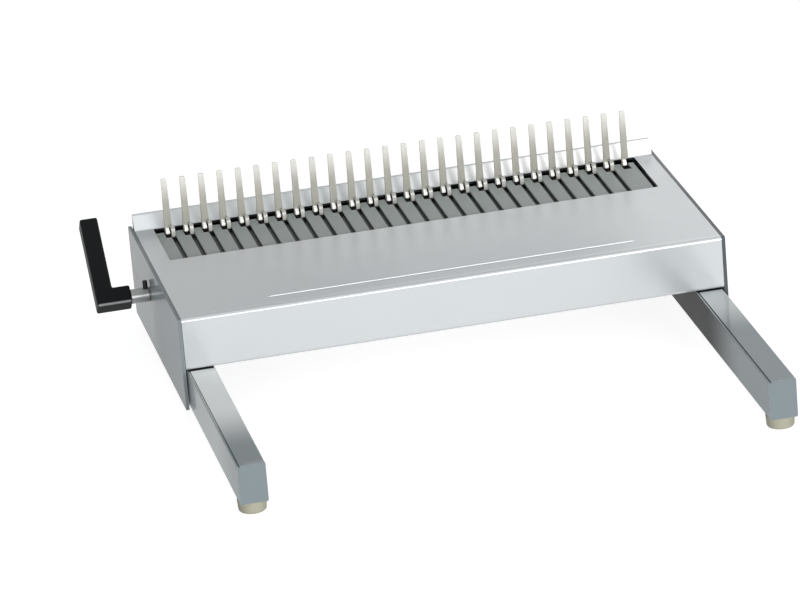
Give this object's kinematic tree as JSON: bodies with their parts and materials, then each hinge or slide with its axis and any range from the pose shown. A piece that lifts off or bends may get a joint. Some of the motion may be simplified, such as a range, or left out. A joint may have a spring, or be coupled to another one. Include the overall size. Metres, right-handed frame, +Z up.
{
  "type": "comb binding machine",
  "caption": "Desk opener for plastic binding combs: fingers hold the comb while a crank draws hooks through slots in the top plate.",
  "frame": {"origin": "on the table, under the middle of the overall bounding box", "axes": "+X to the user's right along the fingers, +Y away from the user towards the ridge, +Z up"},
  "size_m": [0.452, 0.4, 0.122],
  "materials": {
    "cover_paint": "satin light grey powder coat, fine texture",
    "frame_paint": "satin blue-grey powder coat",
    "plated_steel": "bright zinc or nickel plating, slightly warm",
    "screw_steel": "zinc plated",
    "black_screw": "blackened steel",
    "bearing_bronze": "plain sintered bronze",
    "black_handle": "matte black",
    "foot_rubber": "matte cream rubber",
    "plug_plastic": "matte black"
  },
  "bodies": {
    "frame": {"bar_screws": "screw_steel", "finger_bar": "plated_steel", "fixed_fingers": "plated_steel", "foot_front_left": "foot_rubber", "foot_front_right": "foot_rubber", "foot_rear_left": "foot_rubber", "foot_rear_right": "foot_rubber", "front_rail": "frame_paint", "left_bush": "bearing_bronze", "left_leg": "frame_paint", "left_leg_plug": "plug_plastic", "left_side_plate": "frame_paint", "left_slide_rail": "plated_steel", "leg_spacers": "screw_steel", "rear_panel": "cover_paint", "rear_panel_screws": "screw_steel", "right_bush": "bearing_bronze", "right_leg": "frame_paint", "right_leg_plug": "plug_plastic", "right_side_plate": "frame_paint", "right_slide_rail": "plated_steel", "slot_plate": "frame_paint", "top_cover": "cover_paint"},
    "crank": {"crank_lever": "black_handle", "crank_shaft": "plated_steel", "shaft_collar": "plated_steel", "collar_screw": "black_screw", "left_pinion": "plated_steel", "right_pinion": "plated_steel", "retaining_ring": "screw_steel"},
    "puller": {"puller_plate": "plated_steel", "pull_hooks": "plated_steel", "left_rack": "plated_steel", "right_rack": "plated_steel"}
  },
  "joints": [
    {"name": "crank_turn", "type": "hinge", "parent": "frame", "child": "crank", "pos_m": [-0.185, 0.119, 0.053], "axis": [1, 0, 0], "range_deg": [0, 150]},
    {"name": "puller_slide", "type": "slide", "parent": "frame", "child": "puller", "axis": [0, -1, 0], "range_m": [0, 0.04319]}
  ],
  "couplings": [
    {"joint": "crank_turn", "follows": "puller_slide", "rad_per_m": 60.606}
  ]
}
